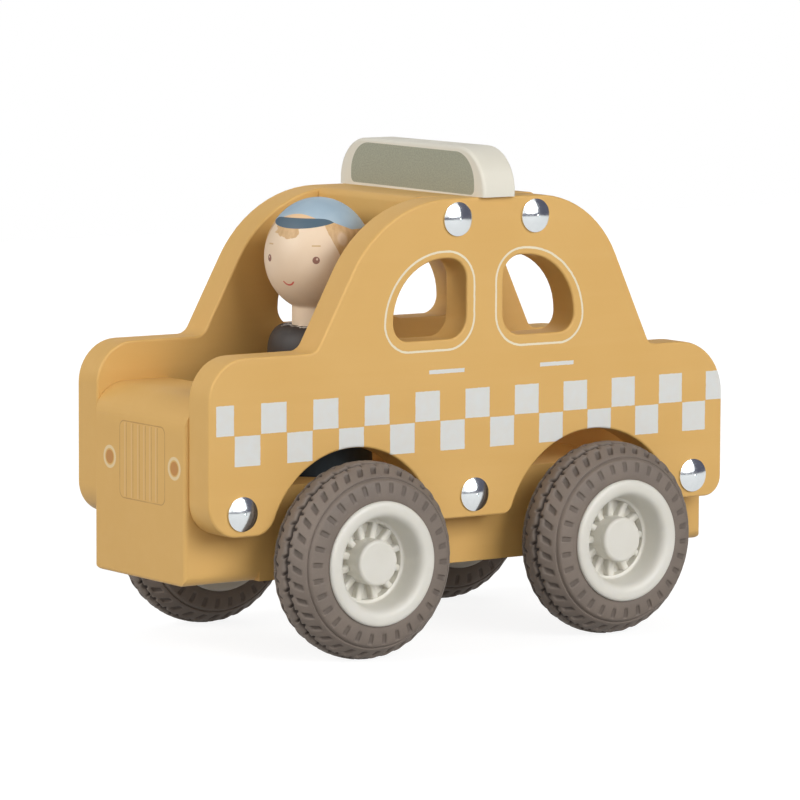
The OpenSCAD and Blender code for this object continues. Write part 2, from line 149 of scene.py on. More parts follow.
def turn(name, profile, axis, place, steps):
    # profile rows are (distance along the axis, radius), turned about the axis through place
    along = Vector((1, 0, 0)) if axis == "X" else Vector((0, 0, 1))
    out = Vector((0, 0, 1)) if axis == "X" else Vector((1, 0, 0))
    spots = [place + along * a + out * r for a, r in profile]
    deselectAll()
    bpy.ops.mesh.primitive_plane_add(size=mm, location=spots[0])
    piece = bpy.context.object
    piece.name = name
    bpy.ops.object.transform_apply(location=True, rotation=True, scale=True)
    bpy.ops.object.mode_set(mode="EDIT")
    bpy.ops.mesh.select_mode(type="VERT")
    bpy.ops.mesh.select_all(action="SELECT")
    bpy.ops.mesh.merge(type="CENTER")
    for here, there in zip(spots, spots[1:]):
        bpy.ops.mesh.extrude_region_move(TRANSFORM_OT_translate={"value": there - here})
    bpy.ops.mesh.select_all(action="SELECT")
    bpy.ops.mesh.remove_doubles(threshold=limits["weld"])
    bpy.ops.mesh.spin(steps=steps, angle=2 * math.pi, center=place, axis=along)
    bpy.ops.mesh.select_all(action="SELECT")
    bpy.ops.mesh.remove_doubles(threshold=limits["weld"])
    bpy.ops.mesh.normals_make_consistent(inside=False)
    closeEdit()
    return piece


def placedCopy(piece, name, matrix):
    other = bpy.data.objects.new(name, piece.data.copy())
    bpy.context.scene.collection.objects.link(other)
    other.data.transform(matrix)
    if matrix.determinant() < 0:
        other.data.flip_normals()
    return other


def arcRows(centre, radius, first, last, steps):
    rows = []
    for i in range(steps + 1):
        a = math.radians(first + (last - first) * i / steps)
        rows.append((centre[0] + radius * math.cos(a), centre[1] + radius * math.sin(a)))
    return rows


# finishes

def tone(code):
    # a screen colour code as linear light
    parts = [int(code[i:i + 2], 16) / 255 for i in (0, 2, 4)]
    return tuple(p / 12.92 if p <= 0.04045 else ((p + 0.055) / 1.055) ** 2.4 for p in parts) + (1.0,)


class Finish:
    def __init__(self, name):
        self.material = bpy.data.materials.new(name)
        self.material.use_nodes = True
        self.tree = self.material.node_tree
        self.shader = self.tree.nodes["Principled BSDF"]
        self.place = self.tree.nodes.new("ShaderNodeTexCoord").outputs["Object"]
        split = self.tree.nodes.new("ShaderNodeSeparateXYZ")
        self.put(split.inputs[0], self.place)
        self.x, self.y, self.z = split.outputs

    def put(self, socket, value):
        if isinstance(value, bpy.types.NodeSocket):
            self.tree.links.new(value, socket)
        else:
            socket.default_value = value

    def set(self, **settings):
        for key, value in settings.items():
            self.put(self.shader.inputs[key.replace("_", " ")], value)

    def calc(self, operation, *values):
        node = self.tree.nodes.new("ShaderNodeMath")
        node.operation = operation
        for socket, value in zip(node.inputs, values):
            self.put(socket, value)
        return node.outputs[0]

    def span(self, value, fromLow, fromHigh, toLow=0.0, toHigh=1.0):
        node = self.tree.nodes.new("ShaderNodeMapRange")
        self.put(node.inputs["Value"], value)
        ends = {"From Min": fromLow, "From Max": fromHigh, "To Min": toLow, "To Max": toHigh}
        for key, end in ends.items():
            node.inputs[key].default_value = end
        return node.outputs["Result"]

    def mix(self, share, first, second):
        node = self.tree.nodes.new("ShaderNodeMix")
        node.data_type = "RGBA"
        self.put(node.inputs[0], share)
        self.put(node.inputs[6], first)
        self.put(node.inputs[7], second)
        return node.outputs[2]

    def noise(self, scale, detail=3.0, stretch=(1, 1, 1)):
        mapping = self.tree.nodes.new("ShaderNodeMapping")
        mapping.inputs["Scale"].default_value = stretch
        self.put(mapping.inputs["Vector"], self.place)
        node = self.tree.nodes.new("ShaderNodeTexNoise")
        node.inputs["Scale"].default_value = scale
        node.inputs["Detail"].default_value = detail
        self.put(node.inputs["Vector"], mapping.outputs[0])
        return node.outputs[0]

    def bump(self, height, strength, distance):
        node = self.tree.nodes.new("ShaderNodeBump")
        node.inputs["Strength"].default_value = strength
        node.inputs["Distance"].default_value = distance
        self.put(node.inputs["Height"], height)
        self.put(self.shader.inputs["Normal"], node.outputs[0])

    def add(self, a, b):
        return self.calc("ADD", a, b)

    def less(self, a, b):
        return self.calc("SUBTRACT", a, b)

    def times(self, a, b):
        return self.calc("MULTIPLY", a, b)

    def most(self, a, b):
        return self.calc("MAXIMUM", a, b)

    def size(self, a):
        return self.calc("ABSOLUTE", a)

    def above(self, a, b):
        return self.calc("GREATER_THAN", a, b)

    def below(self, a, b):
        return self.calc("LESS_THAN", a, b)

    def between(self, value, low, high):
        return self.times(self.above(value, low), self.below(value, high))

    def near(self, value, mid, half):
        return self.below(self.size(self.less(value, mid)), half)

    def both(self, first, *others):
        for other in others:
            first = self.times(first, other)
        return first

    def either(self, first, *others):
        for other in others:
            first = self.most(first, other)
        return first

    def tones(self, share, pair):
        return self.mix(share, tone(pair[0]), tone(pair[1]))

    def length(self, a, b):
        return self.calc("SQRT", self.add(self.times(a, a), self.times(b, b)))

    def roundedBox(self, a, b, halfA, halfB, radius):
        # distance to a box with rounded corners, below zero inside it
        overA = self.less(self.size(a), self.less(halfA, radius))
        overB = self.less(self.size(b), self.less(halfB, radius))
        outside = self.length(self.most(overA, 0.0), self.most(overB, 0.0))
        inside = self.calc("MINIMUM", self.most(overA, overB), 0.0)
        return self.less(self.add(outside, inside), radius)

    def cutCorner(self, gap, a, b, halfA, halfB, radius):
        # takes the corner at high a and high b down to this radius
        overA = self.most(self.add(a, radius - halfA), 0.0)
        overB = self.most(self.add(b, radius - halfB), 0.0)
        return self.most(gap, self.less(self.length(overA, overB), radius))


# each noise is (scale, detail, stretch), and these are the ends that most of them are read between
noiseEnds = (0.3, 0.7)
lacquerLook = {
    "clouds": (28.0, 3.0), "grain": (260.0, 4.0, (1.0, 0.06, 1.0)), "peel": (1500.0, 2.0),
    "grainEnds": (0.45, 0.75), "grainShare": 0.25, "rough": (0.42, 0.52), "specular": 0.3,
    "grainHeight": 0.6, "peelHeight": 0.4, "bump": (0.12, 0.1 * mm)}


def lacquer(finish, base, dark, light):
    # satin paint on sanded board: soft clouds, faint grain along the board, a little orange peel
    look = lacquerLook
    clouds = finish.noise(*look["clouds"])
    grain = finish.noise(*look["grain"])
    peel = finish.noise(*look["peel"])
    colour = finish.tones(finish.span(clouds, *noiseEnds), (dark, base))
    share = finish.span(grain, *look["grainEnds"], 0.0, look["grainShare"])
    colour = finish.mix(share, colour, tone(light))
    finish.set(Roughness=finish.span(clouds, *noiseEnds, *look["rough"]), Specular_IOR_Level=look["specular"])
    height = finish.add(finish.times(grain, look["grainHeight"]), finish.times(peel, look["peelHeight"]))
    finish.bump(height, *look["bump"])
    return colour


paintTones = {
    "yellow": "D8AD67", "yellowDark": "D5A962", "yellowLight": "DCB370",
    # the grille's light line tone is a painted highlight beside each bar
    "white": "D7D9D7", "stripe": "E4D9BE", "lines": "AD824F", "lineHighlight": "DDBB8C",
    "lampRing": "E4CDA2", "lamp": "BC8349"}


def yellowLacquer(finish):
    return lacquer(finish, paintTones["yellow"], paintTones["yellowDark"], paintTones["yellowLight"])


def plainPaint():
    finish = Finish("yellow_lacquer")
    finish.set(Base_Color=yellowLacquer(finish))
    return finish.material


panelPrint = {
    "square": 8.3 * mm, "rows": (53.25 * mm, 69.85 * mm), "firstColumn": 10.375, "seam": 0.014,
    "face": 32.45 * mm, "shake": (900.0, 2.0), "wobble": 0.12 * mm, "firstY": -83.5 * mm,
    "pillar": 3.4 * mm, "windowMid": (18.37 * mm, 93.9 * mm),
    "windowHalf": (11.83 * mm, 10.4 * mm), "corners": (6.0 * mm, 16.57 * mm, 5.01 * mm),
    "cornerSwap": 0.1 * mm, "stripeOut": 2.9 * mm, "stripeHalf": 0.3 * mm,
    "handleZ": 74.85 * mm, "handleHalf": 0.55 * mm,
    "handles": ((-15.1 * mm, -3.4 * mm), (22.1 * mm, 33.5 * mm)),
    "speck": (420.0, 2.0), "speckEnds": (0.2, 0.8), "speckShare": (0.9, 1.0)}


def panelPaint():
    look = panelPrint
    finish = Finish("panel_lacquer")
    yellow = yellowLacquer(finish)
    shake = finish.span(finish.noise(*look["shake"]), 0.0, 1.0, -look["wobble"], look["wobble"])
    y = finish.add(finish.y, shake)
    z = finish.add(finish.z, shake)
    face = finish.above(finish.size(finish.x), look["face"])
    # two rows of checks along the doors
    low, high = look["rows"]
    along = finish.add(finish.calc("DIVIDE", y, look["square"]), look["firstColumn"])
    up = finish.calc("DIVIDE", finish.less(z, low), look["square"])
    cell = finish.add(finish.calc("FLOOR", along), finish.calc("FLOOR", up))
    odd = finish.calc("FLOORED_MODULO", cell, 2.0)
    seam = look["seam"]
    inCell = [finish.between(finish.calc("FRACT", part), seam, 1.0 - seam) for part in (along, up)]
    inRows = finish.between(z, low, high)
    checks = finish.both(face, odd, inRows, finish.above(y, look["firstY"]), *inCell)
    # pin stripe round each window, whose corners differ
    a = finish.less(finish.size(finish.less(y, look["pillar"])), look["windowMid"][0])
    b = finish.less(z, look["windowMid"][1])
    inner, big, small = look["corners"]
    radius = finish.span(a, -look["cornerSwap"], look["cornerSwap"], inner, small)
    gap = finish.roundedBox(a, b, *look["windowHalf"], radius)
    gap = finish.cutCorner(gap, a, b, *look["windowHalf"], big)
    stripe = finish.near(gap, look["stripeOut"], look["stripeHalf"])
    handleBand = finish.near(z, look["handleZ"], look["handleHalf"])
    handles = finish.both(handleBand, finish.either(*[finish.between(y, *ends) for ends in look["handles"]]))
    white = finish.either(checks, finish.both(face, handles))
    colour = finish.mix(finish.both(face, stripe), yellow, tone(paintTones["stripe"]))
    speck = finish.span(finish.noise(*look["speck"]), *look["speckEnds"], *look["speckShare"])
    colour = finish.mix(finish.both(white, speck), colour, tone(paintTones["white"]))
    finish.set(Base_Color=colour)
    return finish.material


frontPrint = {
    "face": -86.5 * mm, "grilleMid": (1.55 * mm, 52.0 * mm), "grilleHalf": (11.2 * mm, 10.4 * mm),
    "grilleRound": 2.0 * mm, "lineHalf": 0.17 * mm, "barHalf": 0.153 * mm, "barGap": 0.4 * mm,
    "bars": (-6.3 * mm, -3.05 * mm, 0.2 * mm, 3.2 * mm, 6.15 * mm, 9.1 * mm),
    "highlightBeside": 0.8 * mm, "highlightHalf": 0.221 * mm, "highlightInk": 0.6,
    "ink": (300.0, 3.0), "inkEnds": (0.25, 0.65), "inkShare": (0.3, 0.7),
    "lamps": (-14.75 * mm, 17.4 * mm), "lampZ": 52.0 * mm, "ring": (2.25 * mm, 3.15 * mm),
    "ringInk": 0.85, "disc": 1.85 * mm, "discInk": 0.9}


def frontPaint():
    look = frontPrint
    finish = Finish("front_lacquer")
    colour = yellowLacquer(finish)
    face = finish.below(finish.y, look["face"])
    a = finish.less(finish.x, look["grilleMid"][0])
    b = finish.less(finish.z, look["grilleMid"][1])
    gap = finish.roundedBox(a, b, *look["grilleHalf"], look["grilleRound"])
    frameLine = finish.below(finish.size(gap), look["lineHalf"])
    bars = [finish.near(finish.x, x, look["barHalf"]) for x in look["bars"]]
    inside = finish.below(gap, -look["barGap"])
    lines = finish.either(frameLine, finish.both(finish.either(*bars), inside))
    # each bar has a painted highlight beside its dark line, standing in for the lit edge of a pressed line
    barHighlights = [finish.near(finish.x, x - look["highlightBeside"], look["highlightHalf"]) for x in look["bars"]]
    ink = finish.span(finish.noise(*look["ink"]), *look["inkEnds"], *look["inkShare"])
    paintedBarHighlights = finish.both(face, finish.either(*barHighlights), inside, look["highlightInk"])
    # painted highlight beside each grille bar
    colour = finish.mix(paintedBarHighlights, colour, tone(paintTones["lineHighlight"]))
    colour = finish.mix(finish.both(face, lines, ink), colour, tone(paintTones["lines"]))
    for x in look["lamps"]:
        away = finish.length(finish.less(finish.x, x), finish.less(finish.z, look["lampZ"]))
        ring = finish.both(face, finish.between(away, *look["ring"]), look["ringInk"])
        disc = finish.both(face, finish.below(away, look["disc"]), look["discInk"])
        colour = finish.mix(ring, colour, tone(paintTones["lampRing"]))
        colour = finish.mix(disc, colour, tone(paintTones["lamp"]))
    finish.set(Base_Color=colour)
    return finish.material


signPrint = {
    "cream": "E4E0D3", "creamDark": "DAD5C6", "green": ("97998A", "A8A994"),
    "fleck": (2600.0, 2.0), "fleckEnds": (0.4, 0.66),
    "mid": (0.6 * mm, 6.9 * mm, 127.68 * mm), "half": (29.3 * mm, 5.7 * mm), "lean": 0.006,
    "footRound": 1.7 * mm, "topRound": 8.5 * mm, "face": 5.15 * mm}


def signPaint():
    look = signPrint
    finish = Finish("sign_lacquer")
    cream = lacquer(finish, look["cream"], look["creamDark"], look["cream"])
    midX, midY, midZ = look["mid"]
    face = finish.above(finish.size(finish.less(finish.y, midY)), look["face"])
    a = finish.less(finish.x, midX)
    b = finish.less(finish.add(finish.z, finish.times(a, look["lean"])), midZ)
    # the lower corners of the print are nearly square
    gap = finish.roundedBox(a, b, *look["half"], look["footRound"])
    gap = finish.cutCorner(gap, finish.size(a), b, *look["half"], look["topRound"])
    printed = finish.both(face, finish.below(gap, 0.0))
    fleck = finish.span(finish.noise(*look["fleck"]), *look["fleckEnds"])
    finish.set(Base_Color=finish.mix(printed, cream, finish.tones(fleck, look["green"])))
    return finish.material


rubberLook = {
    "dust": (120.0, 4.0), "fine": (2400.0, 3.0), "tones": ("6F645B", "7A6E64"),
    "toneEnds": (0.35, 0.7), "dusty": "857A70", "dustyEnds": (0.5, 0.8), "dustyShare": 0.25,
    "shade": "352C27", "shadeShare": 0.85, "rough": (0.62, 0.74), "bump": (0.2, 0.05 * mm)}


def rubberFinish():
    look = rubberLook
    finish = Finish("tyre_rubber")
    dust = finish.noise(*look["dust"])
    fine = finish.noise(*look["fine"])
    colour = finish.tones(finish.span(dust, *look["toneEnds"]), look["tones"])
    dusty = finish.span(fine, *look["dustyEnds"], 0.0, look["dustyShare"])
    colour = finish.mix(dusty, colour, tone(look["dusty"]))
    # painted shade, with some dust, darkens the cuts wherever the tyre's groove attribute is set
    groove = finish.tree.nodes.new("ShaderNodeAttribute")
    groove.attribute_name = "groove"
    shade = finish.span(groove.outputs["Fac"], 0.0, 1.0, 0.0, look["shadeShare"])
    colour = finish.mix(shade, colour, tone(look["shade"]))
    finish.set(Base_Color=colour, Roughness=finish.span(dust, *noiseEnds, *look["rough"]))
    finish.bump(fine, *look["bump"])
    return finish.material


grainFinishes = {
    "rim_plastic": {"grain": (90.0, 3.0), "tones": ("D7D4CA", "DDDAD1"), "rough": (0.36, 0.46),
                    "fine": (1800.0, 2.0), "bump": (0.06, 0.05 * mm)},
    "cap_chrome": {"grain": (700.0, 3.0), "toneEnds": (0.0, 1.0), "tones": ("DDE2E4", "E9EDEE"),
                   "roughEnds": (0.3, 0.8), "rough": (0.13, 0.2), "fine": (1500.0, 2.0),
                   "bump": (0.03, 0.02 * mm)},
    "rod_steel": {"grain": (1400.0, 3.0, (0.04, 1.0, 1.0)), "toneEnds": (0.0, 1.0),
                  "tones": ("9EA3A7", "BFC3C6"), "rough": (0.25, 0.42), "bump": (0.1, 0.02 * mm)},
    "dowel_beech": {"grain": (900.0, 5.0, (1.0, 1.0, 0.05)), "tones": ("C9A878", "DEC59C"),
                    "rough": (0.55, 0.7), "bump": (0.2, 0.05 * mm)}}
plasticDepth = {"Subsurface_Weight": 0.12, "Subsurface_Radius": (2.0 * mm, 1.7 * mm, 1.2 * mm)}


def grainFinish(name, **extra):
    look = grainFinishes[name]
    finish = Finish(name)
    grain = finish.noise(*look["grain"])
    share = finish.span(grain, *look.get("toneEnds", noiseEnds))
    rough = finish.span(grain, *look.get("roughEnds", noiseEnds), *look["rough"])
    finish.set(Base_Color=finish.tones(share, look["tones"]), Roughness=rough, **extra)
    finish.bump(finish.noise(*look["fine"]) if "fine" in look else grain, *look["bump"])
    return finish.material


jacketLook = {
    "brush": (500.0, 4.0, (1.0, 1.0, 0.3)), "edge": (800.0, 3.0), "edgeEnds": (0.2, 0.8),
    "edgeReach": 0.35 * mm, "jacket": ("302925", "39312C"), "trousers": ("28343E", "323F49"),
    "beltZ": 60.0 * mm, "collar": "CFCBC4", "collarZ": 86.0 * mm, "collarEnds": (0.42, 0.52),
    "rough": 0.5, "specular": 0.3, "bump": (0.1, 0.05 * mm)}


def jacketFinish():
    look = jacketLook
    finish = Finish("driver_jacket")
    brush = finish.noise(*look["brush"])
    strokes = finish.span(brush, *noiseEnds)
    reach = look["edgeReach"]
    z = finish.add(finish.z, finish.span(finish.noise(*look["edge"]), *look["edgeEnds"], -reach, reach))
    trousers = finish.tones(strokes, look["trousers"])
    colour = finish.mix(finish.above(z, look["beltZ"]), trousers, finish.tones(strokes, look["jacket"]))
    collar = finish.both(finish.above(z, look["collarZ"]), finish.span(brush, *look["collarEnds"]))
    colour = finish.mix(collar, colour, tone(look["collar"]))
    finish.set(Base_Color=colour, Roughness=look["rough"], Specular_IOR_Level=look["specular"])
    finish.bump(brush, *look["bump"])
    return finish.material


hairPaint = {
    "tones": ("C19A68", "CFAA7A"), "strands": (900.0, 3.0, (1, 1, 0.2)), "strandEnds": (0.35, 0.65),
    "slantZ": (102.0 * mm, 113.4 * mm), "slantAngle": (1.12, 0.72), "lowZ": 101.5 * mm,
    "earAngle": 1.06, "earRadius": 12.5 * mm, "earZ": 110.2 * mm, "earSquash": 0.75,
    "earEdge": (1.0 * mm, 1.6 * mm), "earShare": (0.45, 1.0),
    "tuftSide": 1.0 * mm, "tuftSlope": 0.3, "tuftZ": 109.9 * mm,
    "fringe": (-6.4 * mm, 1.9 * mm), "fringeRagged": 3.0}


def hairOn(finish, colour, side, across, brush):
    # side hair behind a slanted line, with the ear left bare, and a short fringe
    look = hairPaint
    z = finish.add(finish.z, brush)
    hair = finish.tones(finish.span(finish.noise(*look["strands"]), *look["strandEnds"]), look["tones"])
    edge = finish.span(z, *look["slantZ"], *look["slantAngle"])
    sideHair = finish.both(finish.above(side, edge), finish.above(z, look["lowZ"]))
    ear = finish.length(finish.times(finish.less(side, look["earAngle"]), look["earRadius"]),
                        finish.times(finish.less(finish.z, look["earZ"]), look["earSquash"]))
    sideHair = finish.both(sideHair, finish.span(ear, *look["earEdge"], *look["earShare"]))
    fromTuft = finish.size(finish.add(across, look["tuftSide"]))
    tuft = finish.add(finish.times(fromTuft, look["tuftSlope"]), look["tuftZ"])
    ragged = finish.add(across, finish.times(brush, look["fringeRagged"]))
    fringe = finish.both(finish.above(z, tuft), finish.between(ragged, *look["fringe"]))
    return finish.mix(finish.either(sideHair, fringe), colour, hair)


capPaint = {
    "tones": ("9BB0BF", "AEBFC9"), "toneEnds": (0.35, 0.65), "edgeAngle": (0.9, 1.35),
    "edgeZ": (114.7 * mm, 112.6 * mm), "band": "E2BD92", "bandAngle": 0.5,
    "bandZ": (115.3 * mm, 116.7 * mm), "bandDrop": 1.1 * mm, "visor": "435866", "visorAngle": 0.94,
    "visorZ": (112.85 * mm, 115.6 * mm), "visorRise": 1.65 * mm, "visorDrop": 1.1 * mm,
    "visorPower": 4.0}


def capOn(finish, colour, side, clouds):
    # cap, its pale front band and the dark visor
    look = capPaint
    cap = finish.above(finish.z, finish.span(side, *look["edgeAngle"], *look["edgeZ"]))
    colour = finish.mix(cap, colour, finish.tones(finish.span(clouds, *look["toneEnds"]), look["tones"]))
    low, high = look["bandZ"]
    out = finish.calc("DIVIDE", side, look["bandAngle"])
    top = finish.less(high, finish.times(finish.times(out, out), look["bandDrop"]))
    colour = finish.mix(finish.between(finish.z, low, top), colour, tone(look["band"]))
    low, high = look["visorZ"]
    out = finish.calc("DIVIDE", side, look["visorAngle"])
    out = finish.times(out, out)
    foot = finish.add(low, finish.times(out, look["visorRise"]))
    top = finish.less(high, finish.times(finish.calc("POWER", out, look["visorPower"]), look["visorDrop"]))
    return finish.mix(finish.between(finish.z, foot, top), colour, tone(look["visor"]))


facePaint = {
    "eye": "7B4638", "eyeAngle": math.radians(30.4), "eyeZ": 104.6 * mm, "eyeSize": 1.0 * mm,
    "eyeInk": 0.92, "glint": "E6CFB4", "glintAway": (0.25 * mm, 0.3 * mm), "glintSize": 0.3 * mm,
    "glintInk": 0.75, "brow": "C6A06C", "browHalf": (1.2 * mm, 0.2 * mm), "browZ": 108.45 * mm,
    "browInk": 0.85, "smile": "C9574C", "smileSide": 0.9 * mm, "smileMidZ": 99.5 * mm,
    "smileRadius": 1.9 * mm, "smileHalf": 0.22 * mm, "smileTopZ": 98.6 * mm}


def faceOn(finish, colour, side, across, radius):
    # eyes with a small light, brows and a smile
    look = facePaint
    eyeAcross = finish.times(finish.less(side, look["eyeAngle"]), radius)
    eyeUp = finish.less(finish.z, look["eyeZ"])
    eye = finish.below(finish.length(eyeAcross, eyeUp), look["eyeSize"])
    colour = finish.mix(finish.both(eye, look["eyeInk"]), colour, tone(look["eye"]))
    glintAcross, glintUp = look["glintAway"]
    away = finish.length(finish.less(eyeAcross, glintAcross), finish.less(eyeUp, glintUp))
    glint = finish.both(finish.below(away, look["glintSize"]), look["glintInk"])
    colour = finish.mix(glint, colour, tone(look["glint"]))
    halfWide, halfTall = look["browHalf"]
    brow = finish.both(finish.below(finish.size(eyeAcross), halfWide),
                       finish.near(finish.z, look["browZ"], halfTall))
    colour = finish.mix(finish.both(brow, look["browInk"]), colour, tone(look["brow"]))
    away = finish.length(finish.add(across, look["smileSide"]), finish.less(finish.z, look["smileMidZ"]))
    smile = finish.both(finish.near(away, look["smileRadius"], look["smileHalf"]),
                        finish.below(finish.z, look["smileTopZ"]))
    return finish.mix(smile, colour, tone(look["smile"]))


headPaint = {
    "axisY": -29.0 * mm, "faceTurn": math.radians(23.0), "lathe": (420.0, 3.0, (0.12, 0.12, 2.2)),
    "clouds": (90.0, 3.0), "skin": ("DFC6A9", "E6CFB4"), "brush": (700.0, 3.0),
    "brushEnds": (0.2, 0.8), "brushReach": 0.3 * mm, "rough": (0.42, 0.52), "bump": (0.12, 0.1 * mm)}


def headFinish():
    look = headPaint
    finish = Finish("driver_head_paint")
    lathe = finish.noise(*look["lathe"])
    clouds = finish.noise(*look["clouds"])
    colour = finish.tones(finish.span(clouds, *noiseEnds), look["skin"])
    # angle round the head from the middle of the face, and the width along the cheek
    back = finish.less(look["axisY"], finish.y)
    angle = finish.less(finish.calc("ARCTAN2", finish.x, back), look["faceTurn"])
    angle = finish.calc("WRAP", angle, math.pi, -math.pi)
    side = finish.size(angle)
    radius = finish.length(finish.x, back)
    across = finish.times(angle, radius)
    reach = look["brushReach"]
    brush = finish.span(finish.noise(*look["brush"]), *look["brushEnds"], -reach, reach)
    colour = hairOn(finish, colour, side, across, brush)
    colour = capOn(finish, colour, side, clouds)
    colour = faceOn(finish, colour, side, across, radius)
    finish.set(Base_Color=colour, Roughness=finish.span(clouds, *noiseEnds, *look["rough"]))
    finish.bump(lathe, *look["bump"])
    return finish.material


yellowPaint = plainPaint()
sidePaint = panelPaint()
nosePaint = frontPaint()
creamPaint = signPaint()
rubber = rubberFinish()
rimPlastic = grainFinish("rim_plastic", **plasticDepth)
chrome = grainFinish("cap_chrome", Metallic=1.0)
steel = grainFinish("rod_steel", Metallic=1.0)
beech = grainFinish("dowel_beech")
jacket = jacketFinish()
headColours = headFinish()
print("finishes ready")


# boards and blocks

boardLook = {
    "panelRound": 0.65 * mm, "panelSteps": 4, "smooth": 35,
    "rodSpots": ((-75.375, 40.75), (0.0, 40.75), (75.375, 40.75), (-6.1, 115.85), (19.9, 115.85)),
    "rodClear": 3.0 * mm}
signLook = {"round": 1.0 * mm, "steps": 5, "footTall": 0.9 * mm, "letDown": 3.0 * mm, "smooth": 35}
boardPieces = (
    ("front_block", "nose_block", nosePaint), ("rear_block", "tail_block", yellowPaint),
    ("floor_board", "cabin_floor", yellowPaint), ("roof_board", "cabin_roof", yellowPaint))


def atRod(item, spot):
    y, z = spot
    return all(math.hypot(v.co.y - y * mm, v.co.z - z * mm) < boardLook["rodClear"] for v in item.verts)


def atAnyRod(item):
    return any(atRod(item, spot) for spot in boardLook["rodSpots"])


def plugBores(panel, levels):
    # the bore walls go and both ends are closed, so that the faces are whole while they are rounded
    openEdit(panel, "FACE")
    pick(panel, "FACE", lambda f: atAnyRod(f) and abs(f.normal.x) < 0.5)
    bpy.ops.mesh.delete(type="FACE")
    for spot in boardLook["rodSpots"]:
        for level in levels:
            pick(panel, "EDGE", lambda e: inPlane(e, 0, level) and atRod(e, spot) and len(e.link_faces) == 1)
            bpy.ops.mesh.edge_face_add()
    closeEdit()


def drillBores(panel, levels):
    openEdit(panel, "FACE")
    for spot in boardLook["rodSpots"]:
        pick(panel, "FACE", lambda f: atRod(f, spot) and any(inPlane(f, 0, level) for level in levels))
        bpy.ops.mesh.delete(type="ONLY_FACE")
        pick(panel, "EDGE", lambda e: atRod(e, spot) and len(e.link_faces) == 1)
        bpy.ops.mesh.bridge_edge_loops()
    closeEdit()


def makePanels():
    for side in ("left", "right"):
        node = side + "_side_panel"
        low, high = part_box(node)
        panel = copyOfNode(side + "_panel_board", node)
        levels = (low.x, high.x)
        plugBores(panel, levels)
        for level, outward in zip(levels, (-1, 1)):
            roundRim(panel, 0, level, outward, boardLook["panelRound"], boardLook["panelSteps"])
        drillBores(panel, levels)
        softShade(panel, boardLook["smooth"])
        finishPiece(panel, sidePaint, "car_body", "panel_wood", node)
        print(panel.name, "rounded,", len(panel.data.polygons), "faces")


def makeBoards():
    for node, name, paint in boardPieces:
        board = copyOfNode(name, node)
        softShade(board, boardLook["smooth"])
        finishPiece(board, paint, "car_body", "block_wood", node)
        print(name, "done,", len(board.data.polygons), "faces")


def makeSign():
    look = signLook
    low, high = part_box("roof_sign")
    sign = copyOfNode("sign_bar", "roof_sign")
    # the foot is let down while the rims are rounded and then cut off, so that it sits square on the roof
    openEdit(sign, "VERT")
    pick(sign, "VERT", lambda v: v.co.z < low.z + look["footTall"])
    bpy.ops.transform.translate(value=(0, 0, -look["letDown"]))
    closeEdit()
    for level, outward in ((low.y, -1), (high.y, 1)):
        roundRim(sign, 1, level, outward, look["round"], look["steps"])
    openEdit(sign, "VERT")
    bpy.ops.mesh.select_all(action="SELECT")
    bpy.ops.mesh.bisect(plane_co=(0, 0, low.z), plane_no=(0, 0, 1), clear_inner=True)
    pick(sign, "EDGE", lambda e: len(e.link_faces) == 1)
    bpy.ops.mesh.fill()
    closeEdit()
    softShade(sign, look["smooth"])
    finishPiece(sign, creamPaint, "car_body", "sign_wood", "roof_sign")
    print("sign done,", len(sign.data.polygons), "faces")


makePanels()
makeBoards()
makeSign()


# dome caps

capLook = {
    "skirtShare": 0.3, "brim": (0.1 * mm, 0.97), "nib": (0.4 * mm, 0.12 * mm), "nibTop": 0.6,
    "steps": 64, "rows": 12, "smooth": 40}


def makeCaps():
    look = capLook
    low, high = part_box("left_front_dome_cap")
    radius = (high.y - low.y) / 2
    height = high.x - low.x
    skirt = height * look["skirtShare"]
    crown = height - skirt
    ball = (radius ** 2 + crown ** 2) / (2 * crown)
    first = math.degrees(math.asin(radius / ball))
    nibWide, nibTall = look["nib"]
    brimTall, brimShare = look["brim"]
    rows = [(0.0, 0.0), (0.0, radius * brimShare), (brimTall, radius)]
    for i in range(look["rows"]):
        a = math.radians(first * (1 - i / look["rows"]))
        rows.append((height - ball + ball * math.cos(a), ball * math.sin(a)))
    # a small pip from the press stands in the middle
    rows += [(height - nibTall, nibWide), (height, nibWide * look["nibTop"]), (height, 0.0)]
    pattern = turn("cap_pattern", rows, "X", Vector((0, 0, 0)), look["steps"])
    smoothPiece(pattern, look["smooth"])
    for node in nodes:
        if not node.endswith("_dome_cap"):
            continue
        low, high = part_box(node)
        mid = (low + high) / 2
        side = 1 if node.startswith("left") else -1
        seat = low.x if side > 0 else high.x
        matrix = Matrix.Translation((seat, mid.y, mid.z)) @ Matrix.Diagonal((side, 1, 1, 1))
        cap = placedCopy(pattern, node.replace("dome_cap", "bright_cap"), matrix)
        finishPiece(cap, chrome, "car_body", "cap_chrome", node)
    bpy.data.objects.remove(pattern)
    print("dome caps done")


makeCaps()


# wheels

wheelTurns = {"left_front": 15.0, "left_rear": 1.0, "right_front": 8.0, "right_rear": 21.0}
# half of the tyre's section, (distance from the middle, radius) in mm, crown to bead
tyreRows = (
    (0.0, 26.6), (0.9, 26.6), (2.2, 26.5), (2.95, 26.35), (3.8, 25.9), (4.4, 25.5), (5.4, 24.75),
    (6.4, 23.95), (7.0, 23.45), (7.35, 23.1), (7.4, 22.95), (7.2, 22.82), (7.2, 22.6), (7.5, 22.5),
    (7.75, 22.45), (8.25, 22.2), (8.5, 21.7), (8.85, 20.4), (9.0, 18.9), (8.98, 17.9), (8.92, 17.2),
    (8.75, 16.75), (8.7, 14.6))
# how far the tread leads or lags round the tyre, (distance from the middle, lead) in mm
treadLead = (
    (0.0, 0.0), (0.9, -0.5), (2.2, 0.3), (2.95, 0.6), (3.8, 0.8), (4.4, 0.7), (6.4, -0.7),
    (7.0, -0.4), (7.35, 0.0), (99.0, 0.0))
